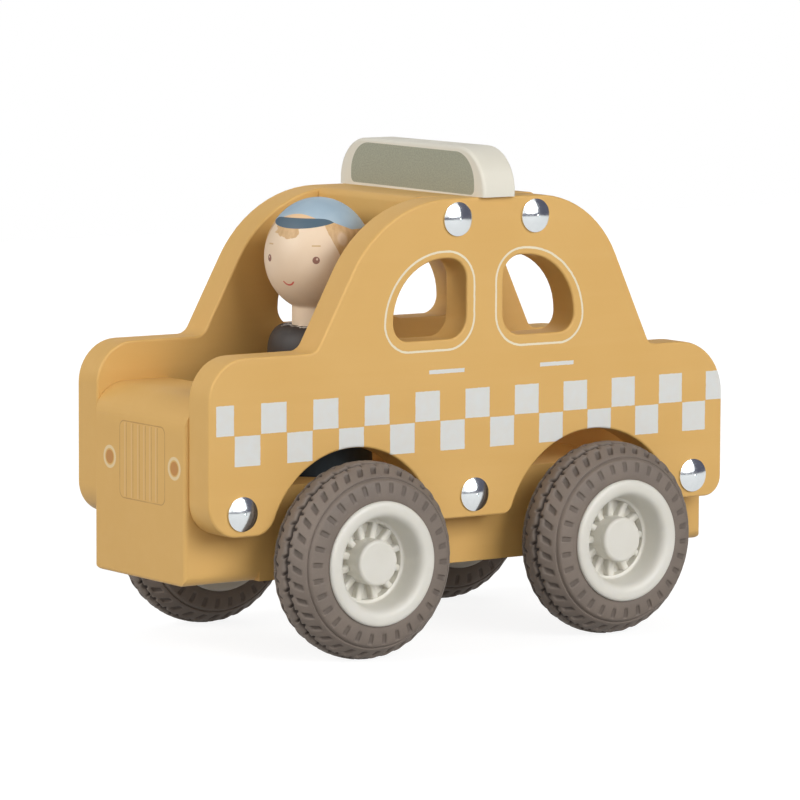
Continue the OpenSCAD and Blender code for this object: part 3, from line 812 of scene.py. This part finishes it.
# bands in mm across the tyre or out from its axle, phases in steps of one repeat round it
tyreLook = {
    "steps": 360, "treads": 36, "wallSlots": 30, "farShift": 5, "treadFrom": 22.9,
    "groove": (2.2, 2.95), "innerFrom": 0.9, "innerPhase": (1, 2), "outerTo": 3.8,
    "outerPhase": (6, 7), "slot": (4.4, 6.4), "slotPhase": (2, 3, 4, 5), "wall": (18.9, 21.7),
    "wallFrom": 8.4, "wallPhase": (4, 5, 6, 7), "ledge": (22.55 * mm, 22.9 * mm),
    "ledgeHalf": 7.3 * mm, "ledgeShade": 0.2, "lip": 0.1 * mm, "zigzag": 0.55 * mm,
    "zigzagStart": 0.75, "zigzagMid": 2.6, "zigzagReach": 1.8, "leadFrom": 21.9 * mm,
    "leadRadius": 26.0, "smooth": 50}
# depth of each cut, and its share of the painted shade, with some dust, that the rubber shows there
tyreCuts = {"groove": (1.2 * mm, 1.0), "slot": (0.7 * mm, 0.55), "wall": (0.45 * mm, 0.45)}


def leadAt(x):
    for (a, leadA), (b, leadB) in zip(treadLead, treadLead[1:]):
        if a <= x <= b:
            return leadA + (leadB - leadA) * (x - a) / (b - a)
    return 0.0


def makeTyrePattern():
    look = tyreLook
    half = [(x * mm, r * mm) for x, r in tyreRows]
    profile = [(-x, r) for x, r in reversed(half)] + half[1:]
    profile.append(profile[0])
    tyre = turn("tyre_pattern", profile, "X", Vector((0, 0, 0)), look["steps"])
    period = look["steps"] // look["treads"]
    wallPeriod = look["steps"] // look["wallSlots"]

    def stepOf(face):
        spot = middle(face)
        step = int(math.floor(math.degrees(math.atan2(spot.z, -spot.y)) % 360.0))
        return step, spot.x / mm, math.hypot(spot.y, spot.z) / mm

    def phaseOf(step, x):
        return (step + (0 if x > 0 else look["farShift"])) % period

    def inGroove(face):
        step, x, r = stepOf(face)
        phase = phaseOf(step, x)
        x = abs(x)
        low, high = look["groove"]
        if r < look["treadFrom"] or x > look["outerTo"]:
            return False
        inner = look["innerFrom"] < x < low and phase in look["innerPhase"]
        outer = high < x and phase in look["outerPhase"]
        return low < x < high or inner or outer

    def inSlot(face):
        step, x, r = stepOf(face)
        low, high = look["slot"]
        return r > look["treadFrom"] and low < abs(x) < high and phaseOf(step, x) in look["slotPhase"]

    def inWall(face):
        step, x, r = stepOf(face)
        low, high = look["wall"]
        return low < r < high and abs(x) > look["wallFrom"] and step % wallPeriod in look["wallPhase"]

    def onLedge(v):
        low, high = look["ledge"]
        return abs(v.co.x) < look["ledgeHalf"] and low < math.hypot(v.co.y, v.co.z) < high

    def markPaintedShade(share):
        # the cuts get painted shade and some dust, which the rubber reads from this attribute
        sheet = bmesh.from_edit_mesh(tyre.data)
        layer = sheet.verts.layers.float.get("groove") or sheet.verts.layers.float.new("groove")
        for v in sheet.verts:
            if v.select:
                v[layer] = share
        bmesh.update_edit_mesh(tyre.data)

    openEdit(tyre, "FACE")
    cutFaces = 0
    for test, kind in ((inGroove, "groove"), (inSlot, "slot"), (inWall, "wall")):
        depth, share = tyreCuts[kind]
        cutFaces += pick(tyre, "FACE", test)
        bpy.ops.mesh.inset(thickness=look["lip"], depth=-depth)
        markPaintedShade(share)
    # the ledge under the tread gets a little painted shade
    pick(tyre, "VERT", onLedge)
    markPaintedShade(look["ledgeShade"])
    closeEdit()
    # the two long grooves run in zig-zags and the cuts beside them slant
    repeat = 360.0 / look["treads"]
    for v in tyre.data.vertices:
        r = math.hypot(v.co.y, v.co.z)
        if r < look["leadFrom"]:
            continue
        a = math.atan2(v.co.z, -v.co.y)
        x = abs(v.co.x / mm)
        wave = (math.degrees(a) % repeat) / repeat
        swing = 4 * abs(((wave + look["zigzagStart"]) % 1.0) - 0.5) - 1
        fade = max(0.0, 1.0 - abs(x - look["zigzagMid"]) / look["zigzagReach"])
        a += leadAt(x) / look["leadRadius"]
        v.co = Vector((v.co.x + swing * look["zigzag"] * fade, -r * math.cos(a), r * math.sin(a)))
    addModifier(tyre, "SUBSURF", levels=1, render_levels=1)
    smoothPiece(tyre, look["smooth"])
    print("tyre pattern:", cutFaces, "faces cut,", len(tyre.data.polygons), "in all")
    return tyre


# closed section in mm: front lip, dish, web ring, gap between the spokes, hub, boss and back dish
rimRows = (
    (8.7, 14.6), (8.7, 16.45), (8.8, 16.72), (9.05, 16.8), (9.45, 16.72), (9.8, 16.45), (10.0, 16.05),
    (10.1, 15.5), (10.1, 14.9), (10.05, 14.3), (9.9, 13.7), (9.6, 13.2), (9.1, 12.75), (8.4, 12.4),
    (7.4, 12.1), (6.0, 11.8), (3.6, 11.4), (3.2, 11.3), (2.95, 11.1), (2.85, 10.8), (2.7, 10.55),
    (2.5, 10.5), (0.2, 10.5), (0.2, 6.2), (5.6, 6.2), (5.6, 2.6), (-15.5, 2.6), (-15.5, 4.9),
    (-10.1, 4.95), (-10.1, 6.2), (-2.1, 6.2), (-2.1, 11.3), (-9.6, 12.7))
rimLook = {
    "steps": 120, "spokes": 12, "spokeMid": (0.7 * mm, 0, 8.2 * mm),
    "spokeSize": (3.6 * mm, 2.0 * mm, 5.2 * mm), "spokeRound": 0.7 * mm, "spokeSegments": 4,
    "smooth": 38}


def alongSpoke(edge):
    first, second = (v.co for v in edge.verts)
    return first.x > 0 and abs(first.x - second.x) < limits["plane"] and abs(first.z - second.z) > mm


def makeRimPattern():
    look = rimLook
    rows = list(rimRows)
    # the back lip and the tyre's seat close the section
    rows += arcRows((-9.5, 13.3), 0.6, 250, 180, 4)
    rows += arcRows((-9.4, 16.1), 0.7, 180, 90, 5)
    rows += [(-8.7, 16.8), (-8.7, 14.6), (8.7, 14.6)]
    rim = turn("rim_pattern", [(x * mm, r * mm) for x, r in rows], "X", Vector((0, 0, 0)), look["steps"])
    smoothPiece(rim, look["smooth"])
    # one round-edged spoke, spun into twelve
    deselectAll()
    bpy.ops.mesh.primitive_cube_add(size=1.0, location=look["spokeMid"], scale=look["spokeSize"])
    spoke = bpy.context.object
    bpy.ops.object.transform_apply(location=True, rotation=True, scale=True)
    bpy.ops.object.mode_set(mode="EDIT")
    pick(spoke, "EDGE", alongSpoke)
    bpy.ops.mesh.bevel(offset=look["spokeRound"], segments=look["spokeSegments"], profile=0.5, affect="EDGES")
    bpy.ops.mesh.select_all(action="SELECT")
    bpy.ops.mesh.spin(steps=look["spokes"], dupli=True, angle=2 * math.pi, center=(0, 0, 0), axis=(1, 0, 0))
    bpy.ops.mesh.select_all(action="SELECT")
    bpy.ops.mesh.remove_doubles(threshold=limits["weld"])
    bpy.ops.mesh.normals_make_consistent(inside=False)
    closeEdit()
    smoothPiece(spoke, look["smooth"])
    deselectAll()
    spoke.select_set(True)
    rim.select_set(True)
    bpy.context.view_layer.objects.active = rim
    bpy.ops.object.join()
    print("rim pattern:", len(rim.data.polygons), "faces")
    return rim


hubLook = {"steps": 72, "smooth": 38}


def makeHubPattern():
    look = hubLook
    # section in mm: plug, back face, rounded rim and flat front
    rows = [(3.5, 0.0), (3.5, 2.45), (5.65, 2.45), (5.65, 6.2), (6.7, 6.2)]
    rows += arcRows((6.7, 5.3), 0.9, 90, 0, 8)[1:]
    rows += [(7.6, 3.0), (7.6, 0.0)]
    hub = turn("hub_pattern", [(x * mm, r * mm) for x, r in rows], "X", Vector((0, 0, 0)), look["steps"])
    smoothPiece(hub, look["smooth"])
    return hub


def makeWheels():
    patterns = ((makeTyrePattern(), "tyre", "rubber_tyre", rubber, "tyre_rubber"),
                (makeRimPattern(), "rim", "spoked_rim", rimPlastic, "rim_plastic"),
                (makeHubPattern(), "hub_cap", "hub_disc", rimPlastic, "rim_plastic"))
    for corner, degrees in wheelTurns.items():
        low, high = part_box(corner + "_tyre")
        mid = (low + high) / 2
        side = 1 if corner.startswith("left") else -1
        body = corner.split("_")[1] + "_wheelset"
        matrix = (Matrix.Translation(mid) @ Matrix.Diagonal((side, 1, 1, 1))
                  @ Matrix.Rotation(math.radians(degrees), 4, "X"))
        for pattern, kind, name, material, slotName in patterns:
            piece = placedCopy(pattern, corner + "_" + name, matrix)
            finishPiece(piece, material, body, slotName, corner + "_" + kind)
    for pattern, *rest in patterns:
        bpy.data.objects.remove(pattern)
    print("wheels done")


makeWheels()


# driver

torsoLook = {
    "steps": 96, "rows": 14, "footRound": 1.5 * mm, "footRows": 5, "waist": 10.0 * mm,
    "shoulderTall": 7.0 * mm, "chest": 13.9 * mm, "collar": 9.4 * mm, "shoulderOut": 4.5 * mm,
    "top": 7.0 * mm, "smooth": 40}
headLook = {
    "steps": 96, "rows": 36, "cheek": 0.45, "neck": 7.2 * mm, "chin": 5.2 * mm, "neckGap": 0.6 * mm,
    "smooth": 60}


def footOf(low, high):
    return Vector(((low.x + high.x) / 2, (low.y + high.y) / 2, low.z))


def makeTorso():
    look = torsoLook
    low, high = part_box("driver_body")
    base = (high.x - low.x) / 2
    tall = high.z - low.z
    foot = look["footRound"]
    shoulder = tall - look["shoulderTall"]
    rows = [(0.0, 0.0), (0.0, base - foot)]
    for i in range(1, look["footRows"] + 1):
        a = math.radians(90 * i / look["footRows"])
        rows.append((foot - foot * math.cos(a), base - foot + foot * math.sin(a)))
    rows += [(look["waist"], base), (shoulder, look["chest"])]
    for i in range(1, look["rows"] + 1):
        a = math.radians(90 * i / look["rows"])
        rows.append((shoulder + look["shoulderTall"] * math.sin(a),
                     look["collar"] + look["shoulderOut"] * math.cos(a)))
    rows += [(tall, look["top"]), (tall, 0.0)]
    torso = turn("driver_torso", rows, "Z", footOf(low, high), look["steps"])
    smoothPiece(torso, look["smooth"])
    finishPiece(torso, jacket, "driver", "driver_dark", "driver_body")


def makeHead():
    look = headLook
    low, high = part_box("driver_head")
    wide = (high.x - low.x) / 2
    neck = look["neck"]
    chin = look["chin"]
    lowHalf = (high.z - low.z - chin) * look["cheek"]
    highHalf = high.z - low.z - chin - lowHalf
    start = math.acos(neck / wide)
    rows = [(0.0, 0.0), (0.0, neck), (chin - look["neckGap"], neck)]
    for i in range(look["rows"] + 1):
        a = -start + (start + math.pi / 2) * i / look["rows"]
        rise = lowHalf / math.sin(start) if a < 0 else highHalf
        rows.append((chin + lowHalf + rise * math.sin(a), max(0.0, wide * math.cos(a))))
    head = turn("driver_painted_head", rows, "Z", footOf(low, high), look["steps"])
    smoothPiece(head, look["smooth"])
    finishPiece(head, headColours, "driver", "driver_skin", "driver_head")


makeTorso()
makeHead()
print("driver done")


# pieces that stay as the CAD made them

rodSmooth = 30
for node, thing in nodes.items():
    if node.endswith("_tie_rod") or node.endswith("_axle"):
        kept = steel
    elif node.endswith("dowel"):
        kept = beech
    else:
        continue
    thing.data.materials.clear()
    thing.data.materials.append(kept)
    smoothPiece(thing, rodSmooth)
print("rods, axles and dowels finished")


# floor, light and camera

studio = {
    "floorSize": 2.4, "floorWhite": 0.42, "floorRough": 0.9, "floorGlow": 0.55, "floorMirror": 0.42,
    "floorShine": 1.62, "room": 0.12, "aim": (0, 0, 0.06),
    "side": {"place": (1.44, 0.29, 0.7), "size": (1.2, 0.9), "watts": 19.8, "shines": True},
    "front": {"place": (-0.24, -1.36, 0.8), "size": (0.8, 0.9), "watts": 13.8, "shines": True},
    "fill": {"place": (1.27, -1.02, 0.6), "size": (0.9, 0.9), "watts": 4.0, "shines": True},
    "back": {"place": (-1.15, 0.8, 0.85), "size": (1.2, 0.9), "watts": 12.0, "shines": False},
    "mirrorBright": 1.1, "mirrorDark": (0.12, 0.12, 0.16), "mirrorLean": (-0.352, 1.0, -0.418),
    "mirrorEdge": (-0.08, 0.1), "skyline": (0.02, 0.12)}
camera = {
    "place": (1.1494, -0.8111, 0.2202), "azimuth": 54.845, "elevation": 6.361, "roll": 0.245,
    "focalPixels": 5122.8, "framePixels": 800, "sensor": 36.0, "clip": (0.1, 50)}


def blendShaders(tree, share, first, second):
    node = tree.nodes.new("ShaderNodeMixShader")
    tree.links.new(share, node.inputs[0])
    tree.links.new(first, node.inputs[1])
    tree.links.new(second, node.inputs[2])
    return node.outputs[0]


def makeFloor():
    deselectAll()
    bpy.ops.mesh.primitive_plane_add(size=studio["floorSize"], location=(0, 0, 0))
    floor = bpy.context.object
    floor.name = "studio_floor"
    material = bpy.data.materials.new("studio_floor")
    material.use_nodes = True
    tree = material.node_tree
    shader = tree.nodes["Principled BSDF"]
    white = studio["floorWhite"]
    shader.inputs["Base Color"].default_value = (white, white, white, 1)
    shader.inputs["Roughness"].default_value = studio["floorRough"]
    glow = tree.nodes.new("ShaderNodeEmission")
    glow.inputs["Strength"].default_value = studio["floorShine"]
    path = tree.nodes.new("ShaderNodeLightPath")
    mirror = tree.nodes.new("ShaderNodeMath")
    mirror.operation = "MULTIPLY"
    mirror.inputs[1].default_value = studio["floorMirror"]
    tree.links.new(path.outputs["Is Glossy Ray"], mirror.inputs[0])
    share = tree.nodes.new("ShaderNodeMath")
    share.operation = "MULTIPLY_ADD"
    share.inputs[1].default_value = studio["floorGlow"]
    tree.links.new(path.outputs["Is Camera Ray"], share.inputs[0])
    tree.links.new(mirror.outputs[0], share.inputs[2])
    seen = blendShaders(tree, share.outputs[0], shader.outputs[0], glow.outputs[0])
    tree.links.new(seen, tree.nodes["Material Output"].inputs[0])
    floor.data.materials.append(material)


def makeLamp(name, look):
    deselectAll()
    bpy.ops.object.light_add(type="AREA", location=look["place"])
    lamp = bpy.context.object
    lamp.name = name
    lamp.data.shape = "RECTANGLE"
    lamp.data.size, lamp.data.size_y = look["size"]
    lamp.data.energy = look["watts"]
    lamp.visible_glossy = look["shines"]
    aim = Vector(studio["aim"]) - Vector(look["place"])
    lamp.rotation_euler = aim.to_track_quat("-Z", "Y").to_euler()


def makeWorld():
    # an even dim room; shiny pieces see it bright in front and at the side, dark behind, with a dark skyline
    look = studio
    world = bpy.data.worlds.new("studio")
    bpy.context.scene.world = world
    world.use_nodes = True
    tree = world.node_tree

    def add(kind, **values):
        node = tree.nodes.new(kind)
        for key, value in values.items():
            node.inputs[key].default_value = value
        return node

    def ramp(socket, ends):
        node = add("ShaderNodeMapRange", **{"From Min": ends[0], "From Max": ends[1]})
        node.interpolation_type = "SMOOTHSTEP"
        tree.links.new(socket, node.inputs["Value"])
        return node.outputs["Result"]

    split = tree.nodes.new("ShaderNodeSeparateXYZ")
    ray = tree.nodes.new("ShaderNodeTexCoord").outputs["Generated"]
    tree.links.new(ray, split.inputs[0])
    path = tree.nodes.new("ShaderNodeLightPath")
    room = add("ShaderNodeBackground", Strength=look["room"], Color=(1, 1, 1, 1)).outputs[0]
    white = add("ShaderNodeBackground", Strength=1.0, Color=(1, 1, 1, 1)).outputs[0]
    bright = add("ShaderNodeBackground", Strength=look["mirrorBright"], Color=(1, 1, 1, 1)).outputs[0]
    dark = add("ShaderNodeBackground", Strength=1.0, Color=look["mirrorDark"] + (1,)).outputs[0]
    lean = tree.nodes.new("ShaderNodeVectorMath")
    lean.operation = "DOT_PRODUCT"
    tree.links.new(ray, lean.inputs[0])
    lean.inputs[1].default_value = look["mirrorLean"]
    mirror = blendShaders(tree, ramp(lean.outputs["Value"], look["mirrorEdge"]), bright, dark)
    mirror = blendShaders(tree, ramp(split.outputs["Z"], look["skyline"]), dark, mirror)
    seen = blendShaders(tree, path.outputs["Is Glossy Ray"], room, mirror)
    seen = blendShaders(tree, path.outputs["Is Camera Ray"], seen, white)
    tree.links.new(seen, tree.nodes["World Output"].inputs[0])
    tree.nodes.remove(tree.nodes["Background"])


def makeCamera():
    look = camera
    az, el, roll = (math.radians(look[key]) for key in ("azimuth", "elevation", "roll"))
    back = Vector((math.sin(az) * math.cos(el), -math.cos(az) * math.cos(el), math.sin(el)))
    right = Vector((math.cos(az), math.sin(az), 0))
    up = back.cross(right)
    rightRolled = right * math.cos(roll) + up * math.sin(roll)
    upRolled = up * math.cos(roll) - right * math.sin(roll)
    deselectAll()
    bpy.ops.object.camera_add(location=look["place"])
    shot = bpy.context.object
    shot.rotation_euler = Matrix((rightRolled, upRolled, back)).transposed().to_euler()
    shot.data.sensor_fit = "HORIZONTAL"
    shot.data.sensor_width = look["sensor"]
    shot.data.lens = look["sensor"] * look["focalPixels"] / look["framePixels"]
    shot.data.clip_start, shot.data.clip_end = look["clip"]
    bpy.context.scene.camera = shot


makeFloor()
for lampName in ("side", "front", "fill", "back"):
    makeLamp(lampName + "_softbox", studio[lampName])
makeWorld()
makeCamera()
bpy.context.scene.view_settings.view_transform = "Standard"
print("studio ready")
